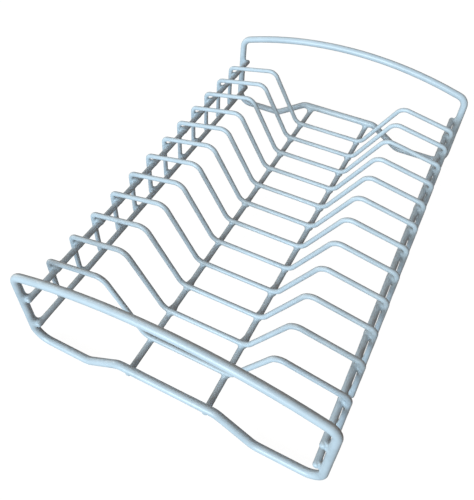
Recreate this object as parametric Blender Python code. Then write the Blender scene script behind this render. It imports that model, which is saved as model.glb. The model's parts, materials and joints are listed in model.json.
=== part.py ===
"""Dish drying rack: one open basket made of bent and straight steel wires with a plastic coat.

Two closed end frames stand on the table. Six straight rods run from one end frame to the
other, and twelve bent plate wires cross them at an even pitch, so that plates stand on edge
in the slots between neighbouring wires. Each wire is one piece. At every weld the two wires
keep a small gap in this model, so that each stays a solid of its own.

Units are metres, +Z is up, +Y runs along the rack from its front end frame to its rear one,
and the origin is under the middle of the rack, on the table.
"""

import math

import bmesh
import bpy
from mathutils import Vector

MM = 0.001

# Radii of the wires over their coat, and the gap kept at each weld.
FRAME_RADIUS = 3.25 * MM
ROD_RADIUS = 2.4 * MM
PLATE_WIRE_RADIUS = 2.1 * MM
WELD_GAP = 0.3 * MM

# Layout along the rack.
FRAME_SPAN = 360.0 * MM
FRONT_GAP = 30.3 * MM
PLATE_PITCH = 27.0 * MM
PLATE_WIRE_COUNT = 12
ROD_OVERHANG = 1.8 * MM

# End frame: outline of the wire's centre line.
FOOT_HALF_WIDTH = 117.5 * MM
SHOULDER_HALF_WIDTH = 116.1 * MM
SHOULDER_HEIGHT = 78.9 * MM
ARCH_RISE = 18.3 * MM
FOOT_INNER_END = 68.8 * MM
RAISED_OUTER_END = 39.1 * MM
SHOULDER_BEND = 10.0 * MM
FOOT_BEND = 13.0 * MM
KINK_BEND = 12.0 * MM
ARCH_PIECES = 12

# Plate wire: outline of one half of its centre line, above the table.
FLOOR_HEIGHT = 21.7 * MM
FLOOR_CORNER = 35.3 * MM
SHELF_INNER_X = 65.4 * MM
SHELF_INNER_HEIGHT = 73.2 * MM
SHELF_OUTER_HEIGHT = 63.3 * MM
LEG_BELOW_ROD = 0.6 * MM
FLOOR_BEND = 10.0 * MM
SHELF_INNER_BEND = 9.5 * MM
SHELF_OUTER_BEND = 5.0 * MM

# Side rods and floor rods.
UPPER_ROD_HEIGHT = 54.5 * MM
LOWER_ROD_HEIGHT = 22.5 * MM
FLOOR_ROD_X = 31.3 * MM

# Sizes that follow from the ones above.
FOOT_HEIGHT = FRAME_RADIUS
FLOOR_ROD_HEIGHT = FLOOR_HEIGHT - PLATE_WIRE_RADIUS - WELD_GAP - ROD_RADIUS
RAISED_HEIGHT = FLOOR_ROD_HEIGHT + ROD_RADIUS + WELD_GAP + FRAME_RADIUS

# Facets round each wire. Flat facets face up, down and along, so welds meet flat to flat.
FRAME_SIDES = 12
ROD_SIDES = 12
PLATE_WIRE_SIDES = 8

COAT_COLOUR = (0.66, 0.77, 0.86, 1.0)
COAT_ROUGHNESS = 0.35


def frame_side_x(height):
    """Distance of an end frame's side wire from the middle, at a height above the table."""
    share = (height - FOOT_HEIGHT) / (SHOULDER_HEIGHT - FOOT_HEIGHT)
    return FOOT_HALF_WIDTH + share * (SHOULDER_HALF_WIDTH - FOOT_HALF_WIDTH)


def side_rod_x(height):
    """A side rod lies against the inside of the end frames' side wires."""
    return frame_side_x(height) - FRAME_RADIUS - WELD_GAP - ROD_RADIUS


def leg_x(height):
    """A plate wire's leg lies against the outside of the side rods."""
    return side_rod_x(height) + ROD_RADIUS + WELD_GAP + PLATE_WIRE_RADIUS


def bend(before, corner, after, radius, pieces):
    """Points and directions of the arc that rounds one corner of an outline."""
    into = (corner - before).normalized()
    out = (after - corner).normalized()
    turn = into.angle(out)
    setback = radius * math.tan(turn / 2)
    start = corner - into * setback
    side = (out - into * into.dot(out)).normalized()
    centre = start + side * radius
    arc = []
    for step in range(pieces + 1):
        angle = turn * step / pieces
        point = centre - side * radius * math.cos(angle) + into * radius * math.sin(angle)
        direction = into * math.cos(angle) + side * math.sin(angle)
        arc.append((point, direction))
    return arc


def centre_line(corners, closed):
    """Turn corners (x, z, radius, pieces) into points and directions along the wire."""
    points = [Vector((x, 0.0, z)) for x, z, radius, pieces in corners]
    count = len(points)
    line = []
    for index, (x, z, radius, pieces) in enumerate(corners):
        here = points[index]
        before = points[index - 1]
        after = points[(index + 1) % count]
        if not closed and index == 0:
            line.append((here, (after - here).normalized()))
        elif not closed and index == count - 1:
            line.append((here, (here - before).normalized()))
        elif radius > 0.0:
            line += bend(before, here, after, radius, pieces)
        else:
            mean = (here - before).normalized() + (after - here).normalized()
            line.append((here, mean.normalized()))
    return line


def add_ring(bm, centre, direction, across, radius, sides):
    """One ring of points round the wire, with its flat facets touching the true radius."""
    inward = direction.cross(across)
    corner_radius = radius / math.cos(math.pi / sides)
    ring = []
    for index in range(sides):
        angle = 2 * math.pi * (index + 0.5) / sides
        offset = inward * math.cos(angle) + across * math.sin(angle)
        ring.append(bm.verts.new(centre + offset * corner_radius))
    return ring


def wire_mesh(name, line, radius, sides, closed, across):
    """Sweep a round wire along its centre line; open wires get softly rounded ends."""
    bm = bmesh.new()
    rings = []
    if not closed:
        line = rounded_ends(line, radius)
    for centre, direction, scale in ([(*item, 1.0) for item in line] if closed else line):
        rings.append(add_ring(bm, centre, direction, across, radius * scale, sides))
    pairs = list(zip(rings, rings[1:]))
    if closed:
        pairs.append((rings[-1], rings[0]))
    for first, second in pairs:
        for index in range(sides):
            following = (index + 1) % sides
            bm.faces.new((first[index], first[following], second[following], second[index]))
    if not closed:
        bm.faces.new(rings[0])
        bm.faces.new(rings[-1])
    bmesh.ops.recalc_face_normals(bm, faces=bm.faces)
    mesh = bpy.data.meshes.new(name)
    bm.to_mesh(mesh)
    bm.free()
    mesh.shade_smooth()
    mesh.set_sharp_from_angle(angle=math.radians(50))
    return mesh


def rounded_ends(line, radius):
    """Shrink the wire towards both of its ends, over a third of its radius."""
    run = radius * 0.35
    start, start_direction = line[0]
    end, end_direction = line[-1]
    rounded = [(start, start_direction, 0.62), (start + start_direction * run, start_direction, 1.0)]
    rounded += [(centre, direction, 1.0) for centre, direction in line[1:-1]]
    rounded += [(end - end_direction * run, end_direction, 1.0), (end, end_direction, 0.62)]
    return rounded


def end_frame_mesh():
    """Closed frame: two feet, a raised middle, two side wires and an arched top bar."""
    arch_radius = (SHOULDER_HALF_WIDTH ** 2 + ARCH_RISE ** 2) / (2 * ARCH_RISE)
    half_angle = math.asin(SHOULDER_HALF_WIDTH / arch_radius)
    arch_centre_height = SHOULDER_HEIGHT + ARCH_RISE - arch_radius
    arch = []
    for index in range(1, ARCH_PIECES):
        angle = half_angle * (1 - 2 * index / ARCH_PIECES)
        x = arch_radius * math.sin(angle)
        arch.append((x, arch_centre_height + arch_radius * math.cos(angle), 0.0, 0))
    right = [
        (RAISED_OUTER_END, RAISED_HEIGHT, KINK_BEND, 3),
        (FOOT_INNER_END, FOOT_HEIGHT, KINK_BEND, 3),
        (FOOT_HALF_WIDTH, FOOT_HEIGHT, FOOT_BEND, 5),
        (SHOULDER_HALF_WIDTH, SHOULDER_HEIGHT, SHOULDER_BEND, 5),
    ]
    left = [(-x, z, radius, pieces) for x, z, radius, pieces in reversed(right)]
    line = centre_line(right + arch + left, closed=True)
    return wire_mesh("end_frame", line, FRAME_RADIUS, FRAME_SIDES, True, Vector((0, 1, 0)))


def plate_wire_mesh():
    """Leg, shelf, slope and floor, then the same again in reverse on the other side."""
    leg_end = LOWER_ROD_HEIGHT - ROD_RADIUS - LEG_BELOW_ROD
    right = [
        (FLOOR_CORNER, FLOOR_HEIGHT, FLOOR_BEND, 3),
        (SHELF_INNER_X, SHELF_INNER_HEIGHT, SHELF_INNER_BEND, 3),
        (leg_x(SHELF_OUTER_HEIGHT), SHELF_OUTER_HEIGHT, SHELF_OUTER_BEND, 4),
        (leg_x(leg_end), leg_end, 0.0, 0),
    ]
    left = [(-x, z, radius, pieces) for x, z, radius, pieces in reversed(right)]
    line = centre_line(left + right, closed=False)
    across = Vector((0, 1, 0))
    return wire_mesh("plate_wire", line, PLATE_WIRE_RADIUS, PLATE_WIRE_SIDES, False, across)


def rod_mesh():
    """Straight rod along Y that ends just past the middle of each end frame wire."""
    half = FRAME_SPAN / 2 + ROD_OVERHANG
    forward = Vector((0, 1, 0))
    line = [(forward * -half, forward), (forward * half, forward)]
    return wire_mesh("rod", line, ROD_RADIUS, ROD_SIDES, False, Vector((0, 0, 1)))


def coat_material(name):
    """Pale blue plastic coat with a soft shine."""
    material = bpy.data.materials.new(name)
    material.use_nodes = True
    shader = material.node_tree.nodes["Principled BSDF"]
    shader.inputs["Base Color"].default_value = COAT_COLOUR
    shader.inputs["Roughness"].default_value = COAT_ROUGHNESS
    shader.inputs["Metallic"].default_value = 0.0
    return material


def place(name, mesh, location, rack):
    """Put one wire of the rack in its place."""
    wire = bpy.data.objects.new(name, mesh)
    wire.location = location
    wire.parent = rack
    bpy.context.scene.collection.objects.link(wire)


def build_rack():
    rack = bpy.data.objects.new("dish_rack", None)
    bpy.context.scene.collection.objects.link(rack)

    frame = end_frame_mesh()
    frame.materials.append(coat_material("end_frame_coat"))
    place("front_end_frame", frame, (0, -FRAME_SPAN / 2, 0), rack)
    place("rear_end_frame", frame, (0, FRAME_SPAN / 2, 0), rack)

    plate_wire = plate_wire_mesh()
    plate_wire.materials.append(coat_material("plate_wire_coat"))
    for index in range(PLATE_WIRE_COUNT):
        y = -FRAME_SPAN / 2 + FRONT_GAP + index * PLATE_PITCH
        place(f"plate_wire_{index + 1:02d}", plate_wire, (0, y, 0), rack)

    rod = rod_mesh()
    rod.materials.append(coat_material("rod_coat"))
    rods = {
        "upper_side_rod": (side_rod_x(UPPER_ROD_HEIGHT), UPPER_ROD_HEIGHT),
        "lower_side_rod": (side_rod_x(LOWER_ROD_HEIGHT), LOWER_ROD_HEIGHT),
        "floor_rod": (FLOOR_ROD_X, FLOOR_ROD_HEIGHT),
    }
    for kind, (x, height) in rods.items():
        place(f"left_{kind}", rod, (-x, 0, height), rack)
        place(f"right_{kind}", rod, (x, 0, height), rack)


for old in list(bpy.data.objects):
    bpy.data.objects.remove(old)
build_rack()
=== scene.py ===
"""Looks of a dish drying rack made of welded wires under one dipped plastic coat.

Every wire of the frame is replaced by a round, slightly uneven coated wire that follows the
same centre line. At each weld the coat has run into the corners between the two wires, and
those webs are pieces of their own, one piece for all the webs along a rod.
"""
import json
import math

import bmesh
import bpy
import numpy as np
from mathutils import Euler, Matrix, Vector

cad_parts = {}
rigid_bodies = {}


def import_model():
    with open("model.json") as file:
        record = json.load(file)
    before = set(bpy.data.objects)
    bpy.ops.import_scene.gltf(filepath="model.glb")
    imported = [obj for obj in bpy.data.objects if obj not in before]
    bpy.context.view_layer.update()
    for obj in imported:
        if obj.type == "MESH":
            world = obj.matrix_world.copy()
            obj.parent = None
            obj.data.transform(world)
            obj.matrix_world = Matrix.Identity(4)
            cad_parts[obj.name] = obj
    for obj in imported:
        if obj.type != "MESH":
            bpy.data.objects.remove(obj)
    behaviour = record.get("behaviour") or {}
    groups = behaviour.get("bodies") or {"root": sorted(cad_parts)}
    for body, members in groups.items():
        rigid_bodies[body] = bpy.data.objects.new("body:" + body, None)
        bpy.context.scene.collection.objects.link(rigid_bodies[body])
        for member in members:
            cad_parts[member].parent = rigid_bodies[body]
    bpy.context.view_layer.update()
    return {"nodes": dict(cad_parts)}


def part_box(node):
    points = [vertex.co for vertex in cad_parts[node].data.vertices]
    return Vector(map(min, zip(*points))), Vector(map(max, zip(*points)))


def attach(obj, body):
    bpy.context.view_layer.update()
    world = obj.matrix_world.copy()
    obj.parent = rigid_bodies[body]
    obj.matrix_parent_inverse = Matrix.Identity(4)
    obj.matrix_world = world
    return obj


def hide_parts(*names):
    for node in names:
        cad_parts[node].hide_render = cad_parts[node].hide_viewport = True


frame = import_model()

MM = 0.001
BODY = "root"

# The wires, by their names in the frame. Rods run along Y, the other wires stand across it.
FRAMES = ("front_end_frame", "rear_end_frame")
PLATE_WIRES = tuple(sorted(name for name in frame["nodes"] if name.startswith("plate_wire_")))
ROD_KINDS = ("upper_side_rod", "lower_side_rod", "floor_rod")
RODS = tuple(f"{side}_{kind}" for kind in ROD_KINDS for side in ("left", "right"))

# Outlines of the two bent wires: x, height and bend radius of each corner, in mm, right half.
# The end frame runs from its raised middle over the foot and the shoulder to the arch.
FRAME_CORNERS = ((39.1, 22.85, 12.0), (68.8, 3.25, 12.0), (117.5, 3.25, 13.0), (116.1, 78.9, 10.0))
ARCH_RISE = 18.3
ARCH_PIECES = 12
ARCH_BEND = 370.0
# The plate wire runs from its floor up the slope, over the shelf and down the leg.
PLATE_CORNERS = ((35.3, 21.7, 10.0), (65.4, 73.2, 9.5))
SHELF_END = 63.3
SHELF_END_BEND = 5.0

# How finely a wire is cut along its length and round its section.
STRAIGHT_STEP = 1.8 * MM
BEND_STEP = math.radians(7.5)
FRAME_SIDES = 28
THIN_SIDES = 22

# Unevenness of the coat: its depth, how many lumps there are in a metre, and the shift of the
# pattern from one wire to the next.
UNEVENNESS = 0.06 * MM
LUMPS_PER_METRE = 110.0
WIRE_SEED_STEP = 2.0

# Domed ends of the open wires. The reach is a share of the wire's radius, the stations are
# shares of the reach, and the tip is a share of the full width. The coat swells behind the dome.
DOME_REACH = 0.8
DOME_STATIONS = (0.0, 0.06, 0.18, 0.36, 0.6, 1.0)
DOME_CLEARANCE = 1.02
DOME_TIP = 0.22
SWELLING = 0.045
SWELLING_PLACE = 2.2 * MM
SWELLING_WIDTH = 1.5 * MM

# Webs: how far the coat reaches from one wire along the other, upstream and downstream, and
# which way it ran. It ran towards the rear at the plate wires, and downwards at the end frames.
UPPER_WEB = (2.0 * MM, 7.4 * MM, (0.0, 1.0, 0.0))
LOWER_WEB = (2.8 * MM, 5.2 * MM, (0.0, 1.0, 0.0))
FLOOR_WEB = (2.6 * MM, 9.0 * MM, (0.0, 1.0, 0.0))
FRAME_WEB = (4.6 * MM, 6.4 * MM, (0.0, 0.0, -1.0))
RAISED_WEB = (4.8 * MM, 4.8 * MM, (0.0, 0.0, -1.0))
PLATE_WEBS = {"upper": UPPER_WEB, "lower": LOWER_WEB, "floor": FLOOR_WEB}
WEB_SPREAD = 5.0 * MM
WEB_SIZES = (0.82, 1.0, 1.2)
WEB_TURN = 2.2 * MM
WEB_CELL = 0.5 * MM
WEB_FIRST_SEED = 5
# A web's skin lies this far under the wires' skin, and deeper still past where it fades out.
WEB_SINK = 0.015 * MM
FADE_START = 8.0 * MM
FADE_END = 12.0 * MM
FADE_DEPTH = 0.12 * MM

# How far from a weld the denser look of the pooled coat goes: on a wire it ends at the first
# length and fades over the second, and on a web it fades all the way from the middle.
WIRE_POOL_END = 15.0 * MM
WIRE_POOL_FADE = 6.0 * MM
WEB_POOL_REACH = 11.0 * MM
WEB_POOL_PEAK = 1.15


def box_centre(node):
    low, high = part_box(node)
    return (Vector(low) + Vector(high)) / 2


def box_size(node):
    low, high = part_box(node)
    return Vector(high) - Vector(low)


FRAME_RADIUS = box_size(FRAMES[0]).y / 2
PLATE_RADIUS = box_size(PLATE_WIRES[0]).y / 2
ROD_RADIUS = box_size(RODS[0]).x / 2


# ---------------------------------------------------------------- node trees

class Socket:
    """An output of a node. Arithmetic on it adds Math nodes to the same tree."""

    def __init__(self, nodes, output):
        self.nodes = nodes
        self.output = output

    def other(self, name):
        """Another output of the same node."""
        return Socket(self.nodes, self.output.node.outputs[name])

    def math(self, operation, *values):
        inputs = dict(enumerate(values))
        return self.nodes.add("ShaderNodeMath", {"operation": operation}, inputs)

    def __add__(self, value):
        return self.math("ADD", self, value)

    def __radd__(self, value):
        return self.math("ADD", value, self)

    def __sub__(self, value):
        return self.math("SUBTRACT", self, value)

    def __rsub__(self, value):
        return self.math("SUBTRACT", value, self)

    def __mul__(self, value):
        return self.math("MULTIPLY", self, value)

    def __rmul__(self, value):
        return self.math("MULTIPLY", value, self)


class Nodes:
    """Adds nodes to one tree."""

    def __init__(self, tree):
        self.tree = tree

    def add(self, kind, settings=None, inputs=None, output=0):
        """Make a node: its settings first, then a value or a link for each named socket."""
        node = self.tree.nodes.new(kind)
        for name, value in (settings or {}).items():
            setattr(node, name, value)
        for name, value in (inputs or {}).items():
            if isinstance(value, Socket):
                self.tree.links.new(value.output, node.inputs[name])
            else:
                node.inputs[name].default_value = value
        return Socket(self, node.outputs[output]) if len(node.outputs) else None


# ---------------------------------------------------------------- coat

COAT_COLOUR = (0.62, 0.735, 0.82, 1.0)
COAT_DEEP = (0.50, 0.61, 0.69, 1.0)
COAT_RUBBED = (0.72, 0.80, 0.85, 1.0)
BUMP_DEPTH = 0.12 * MM
# Sockets of the Mix node that belong to its colour mode.
MIX_FACTOR, MIX_FIRST, MIX_SECOND, MIX_RESULT = 0, 6, 7, 2


def coat_material(name, peel, seed):
    """Dipped plastic: pale blue, satin, a little uneven, denser where it pooled at the welds."""
    material = bpy.data.materials.new(name)
    material.use_nodes = True
    material.node_tree.nodes.clear()
    nodes = Nodes(material.node_tree)
    place = nodes.add("ShaderNodeTexCoord", output="Object")
    shifted = nodes.add("ShaderNodeMapping", inputs={
        "Vector": place, "Location": (seed, seed * 0.7, 0.0)})

    def noise(scale, detail, roughness=0.5):
        return nodes.add("ShaderNodeTexNoise", {"noise_dimensions": "3D"}, {
            "Vector": shifted, "Scale": scale, "Detail": detail, "Roughness": roughness})

    def between(value, low, high):
        settings = {"clamp": True, "interpolation_type": "SMOOTHSTEP"}
        return nodes.add("ShaderNodeMapRange", settings, {
            "Value": value, "From Min": low, "From Max": high})

    def blend(factor, first, second):
        settings = {"data_type": "RGBA", "clamp_factor": True}
        return nodes.add("ShaderNodeMix", settings, {
            MIX_FACTOR: factor, MIX_FIRST: first, MIX_SECOND: second}, MIX_RESULT)

    weld = nodes.add("ShaderNodeAttribute", {"attribute_name": "near_weld"}, output="Fac")
    clouds = noise(60.0, 3.0)
    streaks = noise(260.0, 2.0)
    grit = noise(1500.0, 2.0, 0.65)
    waves = noise(170.0, 1.0)
    dimples = noise(900.0, 1.0)
    upward = nodes.add("ShaderNodeSeparateXYZ", inputs={
        0: nodes.add("ShaderNodeTexCoord", output="Normal")}, output=2)

    deep = between(clouds, 0.35, 0.75) * 0.45 + weld * between(streaks, 0.3, 0.7) * 0.55
    colour = blend(deep, COAT_COLOUR, COAT_DEEP)
    rubbed = between(upward, 0.55, 1.0) * between(streaks, 0.5, 0.72) * 0.5
    colour = blend(rubbed, colour, COAT_RUBBED)
    specks = between(grit, 0.70, 0.80) * 0.2
    colour = blend(specks, colour, COAT_DEEP)

    roughness = 0.34 + clouds * 0.1 + rubbed * 0.2 + specks * 0.3
    height = waves * 0.6 + dimples * peel + grit * 0.02
    bump = nodes.add("ShaderNodeBump", inputs={
        "Strength": 0.2, "Distance": BUMP_DEPTH, "Height": height})
    skin = nodes.add("ShaderNodeBsdfPrincipled", inputs={
        "Base Color": colour, "Roughness": roughness, "Normal": bump,
        "IOR": 1.5, "Coat Weight": 0.15, "Coat Roughness": 0.25})
    nodes.add("ShaderNodeOutputMaterial", inputs={"Surface": skin})
    return material


# ---------------------------------------------------------------- centre lines

def rounded_path(corners, closed):
    """Points along an outline of (x, height, bend radius) corners, every corner an arc."""
    points = [np.array(corner[:2], float) for corner in corners]
    count = len(points)
    stations = []
    for index, (x, height, radius) in enumerate(corners):
        here = points[index]
        if not closed and index in (0, count - 1):
            stations.append(here)
            continue
        before = here - points[index - 1]
        after = points[(index + 1) % count] - here
        before /= np.linalg.norm(before)
        after /= np.linalg.norm(after)
        turn = math.acos(float(np.clip(before @ after, -1, 1)))
        start = here - before * radius * math.tan(turn / 2)
        side = after - before * (before @ after)
        side /= np.linalg.norm(side)
        steps = max(2, math.ceil(turn / BEND_STEP))
        for step in range(steps + 1):
            angle = turn * step / steps
            inward = side * radius * (1 - math.cos(angle))
            stations.append(start + inward + before * radius * math.sin(angle))
    if closed:
        stations.append(stations[0])
    path = [stations[0]]
    for first, second in zip(stations, stations[1:]):
        pieces = max(1, math.ceil(np.linalg.norm(second - first) / STRAIGHT_STEP))
        path += [first + (second - first) * (piece + 1) / pieces for piece in range(pieces)]
    if closed:
        path.pop()
    return np.array(path)


def mirrored(right):
    """The left half of an outline, from its right half."""
    return [(-x, height, bend) for x, height, bend in reversed(right)]


def in_metres(corners):
    return [(x * MM, height * MM, bend * MM) for x, height, bend in corners]


def frame_path():
    """Centre line of an end frame, in its own upright plane."""
    shoulder_x, shoulder_height = FRAME_CORNERS[-1][:2]
    arch_radius = (shoulder_x ** 2 + ARCH_RISE ** 2) / (2 * ARCH_RISE)
    half_angle = math.asin(shoulder_x / arch_radius)
    centre_height = shoulder_height + ARCH_RISE - arch_radius
    arch = []
    for index in range(1, ARCH_PIECES):
        angle = half_angle * (1 - 2 * index / ARCH_PIECES)
        height = centre_height + arch_radius * math.cos(angle)
        arch.append((arch_radius * math.sin(angle), height, ARCH_BEND))
    return rounded_path(in_metres([*FRAME_CORNERS, *arch, *mirrored(FRAME_CORNERS)]), True)


def side_lean():
    """How far out a side goes for each step up. It leans in, so this is below 0."""
    foot, shoulder = FRAME_CORNERS[2:]
    return (shoulder[0] - foot[0]) / (shoulder[1] - foot[1])


def plate_path(node):
    """Centre line of a plate wire, in its own upright plane. The legs' place is the node's own."""
    low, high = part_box(node)
    foot_x = high[0] / MM - PLATE_RADIUS / MM
    foot_height = low[2] / MM
    shelf_end_x = side_lean() * (SHELF_END - foot_height) + foot_x
    right = [*PLATE_CORNERS, (shelf_end_x, SHELF_END, SHELF_END_BEND), (foot_x, foot_height, 0.0)]
    return rounded_path(in_metres(mirrored(right) + right), False)


def upright(path, y):
    """Put an outline of (x, height) points in the upright plane at y."""
    return np.column_stack([path[:, 0], np.full(len(path), y), path[:, 1]])


def rod_path(node):
    """Centre line of a straight rod, from its front end to its rear one."""
    low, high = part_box(node)
    centre = box_centre(node)
    pieces = math.ceil((high[1] - low[1]) / STRAIGHT_STEP)
    spots = np.linspace(low[1], high[1], pieces + 1)
    return np.column_stack([np.full(len(spots), centre.x), spots, np.full(len(spots), centre.z)])


def along(path):
    """Distance of each point from the start of its path."""
    steps = np.linalg.norm(np.diff(path, axis=0), axis=1)
    return np.concatenate([[0.0], np.cumsum(steps)])


# ---------------------------------------------------------------- coated wires

def named_input(nodes, data_type, name):
    """An attribute of the mesh that a Geometry Nodes tree works on."""
    return nodes.add("GeometryNodeInputNamedAttribute", {"data_type": data_type}, {"Name": name})


def wire_tree():
    """Geometry Nodes: a tube round a path, with an uneven coat away from the welds."""
    tree = bpy.data.node_groups.new("coated_wire", "GeometryNodeTree")
    face = tree.interface
    face.new_socket("Path", in_out="INPUT", socket_type="NodeSocketGeometry")
    for name, kind, value in (
            ("Sides", "NodeSocketInt", THIN_SIDES),
            ("Unevenness", "NodeSocketFloat", UNEVENNESS),
            ("Lumps per Metre", "NodeSocketFloat", LUMPS_PER_METRE),
            ("Seed", "NodeSocketFloat", 0.0)):
        face.new_socket(name, in_out="INPUT", socket_type=kind).default_value = value
    face.new_socket("Coat", in_out="INPUT", socket_type="NodeSocketMaterial")
    face.new_socket("Wire", in_out="OUTPUT", socket_type="NodeSocketGeometry")
    nodes = Nodes(tree)
    given = nodes.add("NodeGroupInput", output="Path")
    weld = named_input(nodes, "FLOAT", "near_weld")
    curve = nodes.add("GeometryNodeMeshToCurve", inputs={"Mesh": given})
    ring = nodes.add("GeometryNodeCurvePrimitiveCircle", {"mode": "RADIUS"}, {
        "Resolution": given.other("Sides"), "Radius": 1.0})
    tube = nodes.add("GeometryNodeCurveToMesh", inputs={
        "Curve": curve, "Profile Curve": ring, "Fill Caps": True,
        "Scale": named_input(nodes, "FLOAT", "thickness")})
    lumps = nodes.add("ShaderNodeTexNoise", {"noise_dimensions": "4D"}, {
        "Vector": nodes.add("GeometryNodeInputPosition"), "W": given.other("Seed"),
        "Scale": given.other("Lumps per Metre"), "Detail": 2.0})
    # The lumps only ever cut into the full thickness, so a wire stays in the frame's box.
    rise = (lumps - 1.0) * given.other("Unevenness") * (1.0 - weld) * 2.0
    offset = nodes.add("ShaderNodeVectorMath", {"operation": "SCALE"}, {
        0: nodes.add("GeometryNodeInputNormal"), "Scale": rise})
    tube = nodes.add("GeometryNodeSetPosition", inputs={"Geometry": tube, "Offset": offset})
    tube = nodes.add("GeometryNodeSetShadeSmooth", inputs={"Geometry": tube, "Shade Smooth": True})
    tube = nodes.add("GeometryNodeRealizeInstances", inputs={"Geometry": tube})
    tube = nodes.add("GeometryNodeSetMaterial", inputs={
        "Geometry": tube, "Material": given.other("Coat")})
    nodes.add("NodeGroupOutput", inputs={"Wire": tube})
    return tree


def give(modifier, tree, values):
    """Set a modifier's inputs by the names in its tree."""
    for item in tree.interface.items_tree:
        if item.item_type == "SOCKET" and item.in_out == "INPUT" and item.name in values:
            modifier[item.identifier] = values[item.name]


def made_plain(name, source, tree, values):
    """Run a tree on a mesh and keep the result as one plain mesh object."""
    seed = bpy.data.objects.new(name + "_path", source)
    bpy.context.scene.collection.objects.link(seed)
    modifier = seed.modifiers.new(tree.name, "NODES")
    modifier.node_group = tree
    give(modifier, tree, values)
    graph = bpy.context.evaluated_depsgraph_get()
    mesh = bpy.data.meshes.new_from_object(seed.evaluated_get(graph))
    mesh.name = name
    bpy.data.objects.remove(seed)
    piece = bpy.data.objects.new(name, mesh)
    bpy.context.scene.collection.objects.link(piece)
    return piece


def add_values(mesh, name, data_type, values):
    """Give every point of a mesh a value under a name."""
    kind = np.float32 if data_type == "FLOAT" else np.int32
    attribute = mesh.attributes.new(name, data_type, "POINT")
    attribute.data.foreach_set("value", np.asarray(values, kind))


def path_mesh(path, radii, weld, closed):
    """A line of edges that carries the wire's thickness and how near each point is to a weld."""
    mesh = bpy.data.meshes.new("path")
    edges = [(index, index + 1) for index in range(len(path) - 1)]
    if closed:
        edges.append((len(path) - 1, 0))
    mesh.from_pydata([tuple(point) for point in path], edges, [])
    add_values(mesh, "thickness", "FLOAT", radii)
    add_values(mesh, "near_weld", "FLOAT", weld)
    return mesh


def with_round_ends(path, radius):
    """Add the rings of a domed end at both ends, and a slight swelling behind it."""
    reach = radius * DOME_REACH
    length = along(path)
    total = length[-1]
    margin = DOME_CLEARANCE * reach
    inner = [value for value in length if margin < value < total - margin]
    front = [reach * share for share in DOME_STATIONS]
    rear = [total - reach * share for share in reversed(DOME_STATIONS)]
    stations = np.array(front + inner + rear)
    spots = np.column_stack([np.interp(stations, length, path[:, axis]) for axis in range(3)])
    ends = np.minimum(stations, total - stations)
    rounding = np.sqrt(np.clip(1 - (1 - np.clip(ends / reach, 0, 1)) ** 2, 0, 1))
    rounding = DOME_TIP + (1 - DOME_TIP) * rounding
    swelling = SWELLING * np.exp(-((ends - SWELLING_PLACE) / SWELLING_WIDTH) ** 2)
    return spots, radius * rounding * (1 + swelling)


# ---------------------------------------------------------------- welds

def smooth_step(value):
    share = np.clip(value, 0, 1)
    return share * share * (3 - 2 * share)


def near_weld(path, welds):
    """1 at a weld, falling to 0 a little way past its web."""
    gaps = np.array([np.linalg.norm(path - weld, axis=1) for weld in welds]).min(axis=0)
    return smooth_step((WIRE_POOL_END - gaps) / WIRE_POOL_FADE)


def nearest_on_path(path, target):
    """The point of a path that is nearest to a point."""
    starts, ends = path[:-1], path[1:]
    spans = ends - starts
    share = np.clip(((target - starts) * spans).sum(1) / (spans ** 2).sum(1), 0, 1)
    spots = starts + spans * share[:, None]
    return spots[np.linalg.norm(spots - target, axis=1).argmin()]


def segments(path, closed=False):
    """The straight pieces of a path, as (start, end) pairs."""
    pairs = np.stack([path, np.roll(path, -1, axis=0)], axis=1)
    return pairs if closed else pairs[:-1]


def shortened(path, cut):
    """A path without a given length at each end."""
    length = along(path)
    return path[(length >= cut) & (length <= length[-1] - cut)]


def near(pairs, centre, reach):
    """The straight pieces that lie within reach of a point, about that point."""
    pairs = pairs - centre
    return pairs[(np.linalg.norm(pairs, axis=2) < reach).all(axis=1)]


def skin_distance(points, pairs, radius):
    """Distance from points to the skin of a round wire along straight pieces."""
    best = np.full(len(points), np.inf)
    for start, end in pairs:
        span = end - start
        share = np.clip(((points - start) @ span) / (span @ span), 0, 1)
        gap = points - start - share[:, None] * span
        best = np.minimum(best, (gap ** 2).sum(1))
    return np.sqrt(best) - radius


def soft_union(first, second, reach):
    """Smooth minimum of two distances: a concave web where both are closer than the reach."""
    share = np.clip(reach - np.abs(first - second), 0, None) / reach
    return np.minimum(first, second) - share ** 2 * reach / 4


def cell_points(values, low, cell):
    """A point in each cell that a surface cuts, amid its crossings, and each cell's number."""
    inside = values < 0
    nx, ny, nz = np.array(values.shape) - 1

    def at(array, corner):
        a, b, c = corner
        return array[a:a + nx, b:b + ny, c:c + nz]

    corners = [(a, b, c) for a in (0, 1) for b in (0, 1) for c in (0, 1)]
    total = sum(at(inside, corner).astype(int) for corner in corners)
    cut = (total > 0) & (total < len(corners))
    crossing = np.zeros(cut.shape + (3,))
    number = np.zeros(cut.shape)
    for corner in corners:
        for axis in range(3):
            if corner[axis]:
                continue
            other = tuple(value + (axis == place) for place, value in enumerate(corner))
            first, second = at(values, corner), at(values, other)
            change = at(inside, corner) != at(inside, other)
            share = np.where(change, first / np.where(change, first - second, 1.0), 0.0)
            spot = np.array(corner, float) + np.zeros(cut.shape + (3,))
            spot[..., axis] += share
            crossing += spot * change[..., None]
            number += change
    index = np.full(cut.shape, -1)
    index[cut] = np.arange(cut.sum())
    base = np.stack(np.nonzero(cut), -1)
    return low + cell * (base + crossing[cut] / number[cut][:, None]), index


def pulled_onto(field, points, step, rounds=4):
    """Move points along a field's slope until they lie where it is zero."""
    for _ in range(rounds):
        value = field(points)
        slope = np.stack([
            (field(points + shift) - field(points - shift)) / (2 * step)
            for shift in step * np.eye(3)], -1)
        points = points - slope * (value / np.maximum((slope ** 2).sum(1), 1e-6))[:, None]
    return points


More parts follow.
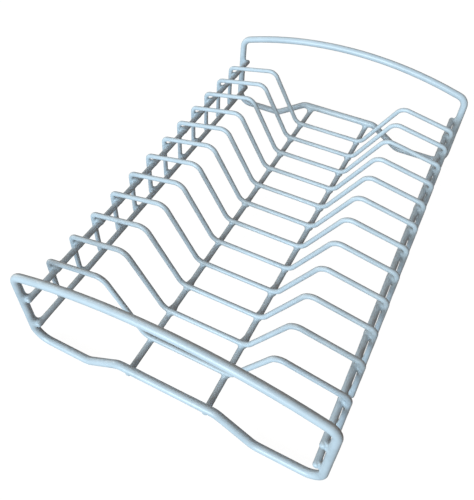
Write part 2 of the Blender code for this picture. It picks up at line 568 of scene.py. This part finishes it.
def cell_faces(inside, index):
    """Four-sided faces across every grid edge that a surface cuts, turned outwards."""
    faces = []
    for axis in range(3):
        u, v = [(1, 2), (2, 0), (0, 1)][axis]
        size = list(inside.shape)
        size[axis] -= 1
        here = [slice(0, length) for length in size]
        ahead = list(here)
        ahead[axis] = slice(1, size[axis] + 1)
        first, second = inside[tuple(here)], inside[tuple(ahead)]
        for leaving in (True, False):
            change = (first & ~second) if leaving else (~first & second)
            where = np.stack(np.nonzero(change), -1)
            where = where[(where[:, u] > 0) & (where[:, v] > 0)]
            ring = []
            for du, dv in ((1, 1), (0, 1), (0, 0), (1, 0)):
                spot = where.copy()
                spot[:, u] -= du
                spot[:, v] -= dv
                ring.append(index[spot[:, 0], spot[:, 1], spot[:, 2]])
            ring = np.stack(ring, -1)
            faces.append(ring if leaving else ring[:, ::-1])
    return np.concatenate(faces)


def net_of(field, low, high, cell):
    """Closed surface where a field is zero, with its points pulled onto that surface."""
    counts = np.ceil((high - low) / cell).astype(int) + 1
    axes = [low[axis] + cell * np.arange(counts[axis]) for axis in range(3)]
    grid = np.stack(np.meshgrid(*axes, indexing="ij"), -1)
    values = field(grid.reshape(-1, 3)).reshape(counts)
    points, index = cell_points(values, low, cell)
    return pulled_onto(field, points, cell * 0.05), cell_faces(values < 0, index)


def web_mesh(name, one, one_radius, two, two_radius, web, size):
    """The coat round one weld, as a closed mesh about the crossing."""
    upstream, downstream, flow = web

    def field(points):
        away = np.linalg.norm(points, axis=1)
        sink = WEB_SINK + FADE_DEPTH * smooth_step((away - FADE_START) / (FADE_END - FADE_START))
        below = smooth_step(points @ np.array(flow) / WEB_TURN / 2 + 0.5)
        first = skin_distance(points, one, one_radius) + sink
        second = skin_distance(points, two, two_radius) + sink
        pooled = below * (1 - smooth_step(first / WEB_SPREAD))
        reach = (upstream + (downstream - upstream) * pooled) * size
        return soft_union(first, second, reach)

    margin = max(one_radius, two_radius) + 3 * WEB_CELL
    spots = np.concatenate([one, two]).reshape(-1, 3)
    points, faces = net_of(field, spots.min(0) - margin, spots.max(0) + margin, WEB_CELL)
    mesh = bpy.data.meshes.new(name)
    mesh.from_pydata(points.tolist(), [], faces.tolist())
    mesh.shade_smooth()
    pool = np.clip(WEB_POOL_PEAK - np.linalg.norm(points, axis=1) / WEB_POOL_REACH, 0, 1)
    add_values(mesh, "near_weld", "FLOAT", pool)
    return mesh


def web_tree():
    """Geometry Nodes: a web at each weld, of its kind, in a size picked by a seed."""
    tree = bpy.data.node_groups.new("weld_webs", "GeometryNodeTree")
    face = tree.interface
    face.new_socket("Welds", in_out="INPUT", socket_type="NodeSocketGeometry")
    face.new_socket("Web Shapes", in_out="INPUT", socket_type="NodeSocketCollection")
    for name, value in (("Sizes", len(WEB_SIZES)), ("Seed", 0)):
        face.new_socket(name, in_out="INPUT", socket_type="NodeSocketInt").default_value = value
    face.new_socket("Coat", in_out="INPUT", socket_type="NodeSocketMaterial")
    face.new_socket("Webs", in_out="OUTPUT", socket_type="NodeSocketGeometry")
    nodes = Nodes(tree)
    given = nodes.add("NodeGroupInput", output="Welds")
    sizes = given.other("Sizes")
    kind = named_input(nodes, "INT", "kind")
    dice = nodes.add("FunctionNodeRandomValue", {"data_type": "FLOAT"}, {
        "Seed": given.other("Seed")}, output=1)
    # The dice is kept just under 1, so that its top value still picks a size there is.
    size = nodes.add("ShaderNodeMath", {"operation": "FLOOR"}, {0: dice * sizes * 0.9999})
    shapes = nodes.add("GeometryNodeCollectionInfo", {"transform_space": "ORIGINAL"}, {
        "Collection": given.other("Web Shapes"), "Separate Children": True, "Reset Children": True})
    webs = nodes.add("GeometryNodeInstanceOnPoints", inputs={
        "Points": nodes.add("GeometryNodeMeshToPoints", inputs={"Mesh": given}),
        "Instance": shapes, "Pick Instance": True, "Instance Index": kind * sizes + size})
    webs = nodes.add("GeometryNodeRealizeInstances", inputs={"Geometry": webs})
    webs = nodes.add("GeometryNodeSetMaterial", inputs={
        "Geometry": webs, "Material": given.other("Coat")})
    nodes.add("NodeGroupOutput", inputs={"Webs": webs})
    return tree


# ---------------------------------------------------------------- the rack

def hold(piece, slot, *nodes):
    """Tie a finished piece to the frame."""
    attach(piece, BODY)
    if nodes:
        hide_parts(*nodes)


def weld_spots(rods, wires):
    """Where each rod meets each bent wire: halfway between their centre lines."""
    welds = {}
    for rod in rods:
        centre = box_centre(rod)
        for wire, wire_line in wires.items():
            target = np.array([centre.x, box_centre(wire).y, centre.z])
            welds[rod, wire] = (target + nearest_on_path(wire_line, target)) / 2
    return welds


def add_wires(jobs, welds, coats):
    """Each job is a node, its centre line, radius, sides and coat, and whether it is a loop."""
    tree = wire_tree()
    for number, (name, line, radius, sides, slot, closed) in enumerate(jobs):
        if closed:
            radii = np.full(len(line), radius)
        else:
            line, radii = with_round_ends(line, radius)
        own = [spot for pair, spot in welds.items() if name in pair]
        source = path_mesh(line, radii, near_weld(line, own), closed)
        piece = made_plain("coated_" + name, source, tree, {
            "Sides": sides, "Unevenness": UNEVENNESS, "Lumps per Metre": LUMPS_PER_METRE,
            "Seed": WIRE_SEED_STEP * number, "Coat": coats[slot]})
        hold(piece, slot, name)


def web_shapes(rod, line, kinds, welds):
    """A collection for a while of the webs that a rod needs, kind after kind, in every size."""
    shapes = bpy.data.collections.new("web_shapes_" + rod)
    for kind, (names, wire_line, radius, closed, web) in enumerate(kinds):
        spot = welds[rod, names[0]]
        span = max(web[:2]) * max(WEB_SIZES) + STRAIGHT_STEP
        one = near(segments(shortened(line, ROD_RADIUS)), spot, span + radius)
        two = near(segments(wire_line, closed), spot, span + ROD_RADIUS)
        for index, size in enumerate(WEB_SIZES):
            mesh = web_mesh(f"web_{kind}_{index}", one, ROD_RADIUS, two, radius, web, size)
            shapes.objects.link(bpy.data.objects.new(mesh.name, mesh))
    return shapes


def add_webs(rods, loops, plates, welds, coat):
    """One piece for each rod, with the webs at all its welds."""
    tree = web_tree()
    front, rear = FRAMES
    for number, (rod, line) in enumerate(rods.items()):
        plate_web = next(web for word, web in PLATE_WEBS.items() if word in rod)
        end_web = RAISED_WEB if "floor" in rod else FRAME_WEB
        kinds = (((front,), loops[front], FRAME_RADIUS, True, end_web),
                 (PLATE_WIRES, plates[PLATE_WIRES[0]], PLATE_RADIUS, False, plate_web),
                 ((rear,), loops[rear], FRAME_RADIUS, True, end_web))
        shapes = web_shapes(rod, line, kinds, welds)
        met = [(kind, name) for kind, (names, *_) in enumerate(kinds) for name in names]
        points = bpy.data.meshes.new("welds")
        points.from_pydata([tuple(welds[rod, name]) for kind, name in met], [], [])
        add_values(points, "kind", "INT", [kind for kind, name in met])
        piece = made_plain("weld_webs_" + rod, points, tree, {
            "Web Shapes": shapes, "Sizes": len(WEB_SIZES), "Seed": WEB_FIRST_SEED + number,
            "Coat": coat})
        piece.data.shade_smooth()
        for shape in list(shapes.objects):
            bpy.data.objects.remove(shape)
        bpy.data.collections.remove(shapes)
        hold(piece, "rod_coat")


def build_rack():
    coats = {
        "end_frame_coat": coat_material("end_frame_coat_skin", 0.16, 3.1),
        "plate_wire_coat": coat_material("plate_wire_coat_skin", 0.13, 7.7),
        "rod_coat": coat_material("rod_coat_skin", 0.13, 12.4),
    }
    frame_outline = frame_path()
    plate_outline = plate_path(PLATE_WIRES[0])
    loops = {name: upright(frame_outline, box_centre(name).y) for name in FRAMES}
    plates = {name: upright(plate_outline, box_centre(name).y) for name in PLATE_WIRES}
    rods = {name: rod_path(name) for name in RODS}
    welds = weld_spots(rods, {**loops, **plates})

    jobs = [(name, line, radius, sides, slot, closed)
            for wires, radius, sides, slot, closed in (
                (loops, FRAME_RADIUS, FRAME_SIDES, "end_frame_coat", True),
                (plates, PLATE_RADIUS, THIN_SIDES, "plate_wire_coat", False),
                (rods, ROD_RADIUS, THIN_SIDES, "rod_coat", False))
            for name, line in wires.items()]
    add_wires(jobs, welds, coats)
    add_webs(rods, loops, plates, welds, coats["rod_coat"])


# ---------------------------------------------------------------- studio

SWEEP_RADIUS = 3.0
SWEEP_BEND = 1.0
SWEEP_BEND_STEPS = 12
SWEEP_SIDES = 64
SWEEP_HEIGHT = 3.5
PAPER_GREY = (0.16, 0.16, 0.16, 1.0)
PAPER_GLOW = 0.95
RACK_MIDDLE = (0.0, 0.0, 0.04)
LIGHT_DISTANCE = 6.0
# Azimuth, elevation, size in m, power in W, colour.
LIGHTS = {
    "front_window": (183, 22, 2.8, 238.0, (0.84, 0.95, 0.98)),
    "low_window": (195, 11, 2.2, 160.0, (0.64, 0.84, 1.0)),
    "left_low": (275, 12, 2.0, 68.0, (1.0, 0.97, 0.86)),
    "left_high": (270, 58, 3.0, 46.0, (0.97, 0.95, 0.93)),
}
WORLD_COLOUR = (1.0, 0.79, 0.66)
WORLD_STRENGTH = 0.165
CAMERA_LENS = 38.7636
CAMERA_SHIFT = (0.03465, -0.0118)
CAMERA_PLACE = (0.1075, -0.31431, 0.37017)
CAMERA_TURN = (40.933, -0.709, 27.493)


def sweep_material():
    """Pale paper that glows a little by itself, so that only faint shadows show on it."""
    material = bpy.data.materials.new("pale_paper")
    material.use_nodes = True
    material.node_tree.nodes.clear()
    nodes = Nodes(material.node_tree)
    place = nodes.add("ShaderNodeTexCoord", output="Object")
    grain = nodes.add("ShaderNodeTexNoise", inputs={"Vector": place, "Scale": 40.0, "Detail": 3.0})
    paper = nodes.add("ShaderNodeBsdfPrincipled", inputs={
        "Base Color": PAPER_GREY, "Roughness": grain * 0.1 + 0.8, "Specular IOR Level": 0.0,
        "Emission Color": (1.0, 1.0, 1.0, 1.0), "Emission Strength": PAPER_GLOW})
    nodes.add("ShaderNodeOutputMaterial", inputs={"Surface": paper})
    return material


def add_sweep():
    """Floor that curves up into a round wall. It is only seen: it sends no light to the rack."""
    flat = SWEEP_RADIUS - SWEEP_BEND
    profile = [(0.0, 0.0), (flat, 0.0)]
    for step in range(1, SWEEP_BEND_STEPS + 1):
        angle = math.radians(90) * step / SWEEP_BEND_STEPS
        profile.append((flat + SWEEP_BEND * math.sin(angle), SWEEP_BEND * (1 - math.cos(angle))))
    profile.append((SWEEP_RADIUS, SWEEP_HEIGHT))
    bm = bmesh.new()
    points = [bm.verts.new((radius, 0.0, height)) for radius, height in profile]
    edges = [bm.edges.new(pair) for pair in zip(points, points[1:])]
    bmesh.ops.spin(bm, geom=points + edges, axis=(0, 0, 1), cent=(0, 0, 0), steps=SWEEP_SIDES,
                   angle=math.tau, use_merge=True, use_duplicate=False)
    bmesh.ops.remove_doubles(bm, verts=bm.verts, dist=1e-5)
    bmesh.ops.recalc_face_normals(bm, faces=bm.faces)
    bmesh.ops.reverse_faces(bm, faces=bm.faces)
    mesh = bpy.data.meshes.new("paper_sweep")
    bm.to_mesh(mesh)
    bm.free()
    mesh.shade_smooth()
    mesh.materials.append(sweep_material())
    sweep = bpy.data.objects.new("paper_sweep", mesh)
    sweep.visible_diffuse = False
    sweep.visible_glossy = False
    sweep.visible_shadow = False
    bpy.context.scene.collection.objects.link(sweep)


def add_light(name, azimuth, elevation, size, power, colour):
    """A square soft light, far off, that looks at the rack. Azimuth 0 is behind, 180 in front."""
    light = bpy.data.lights.new(name, "AREA")
    light.shape = "SQUARE"
    light.size = size
    light.energy = power
    light.color = colour
    lamp = bpy.data.objects.new(name, light)
    turn, rise = math.radians(azimuth), math.radians(elevation)
    level = math.cos(rise)
    toward = Vector((level * math.sin(turn), level * math.cos(turn), math.sin(rise)))
    lamp.location = Vector(RACK_MIDDLE) + toward * LIGHT_DISTANCE
    lamp.rotation_euler = toward.to_track_quat("Z", "Y").to_euler()
    bpy.context.scene.collection.objects.link(lamp)


def add_world():
    world = bpy.data.worlds.new("studio")
    bpy.context.scene.world = world
    world.use_nodes = True
    back = world.node_tree.nodes["Background"]
    back.inputs["Color"].default_value = (*WORLD_COLOUR, 1.0)
    back.inputs["Strength"].default_value = WORLD_STRENGTH


def add_camera():
    camera = bpy.data.cameras.new("camera")
    camera.lens = CAMERA_LENS
    camera.sensor_width = 36.0
    camera.sensor_fit = "AUTO"
    camera.shift_x, camera.shift_y = CAMERA_SHIFT
    eye = bpy.data.objects.new("camera", camera)
    eye.location = CAMERA_PLACE
    eye.rotation_euler = Euler([math.radians(angle) for angle in CAMERA_TURN])
    bpy.context.scene.collection.objects.link(eye)
    bpy.context.scene.camera = eye


build_rack()
add_sweep()
add_world()
for name, values in LIGHTS.items():
    add_light(name, *values)
add_camera()
bpy.context.scene.view_settings.view_transform = "Standard"
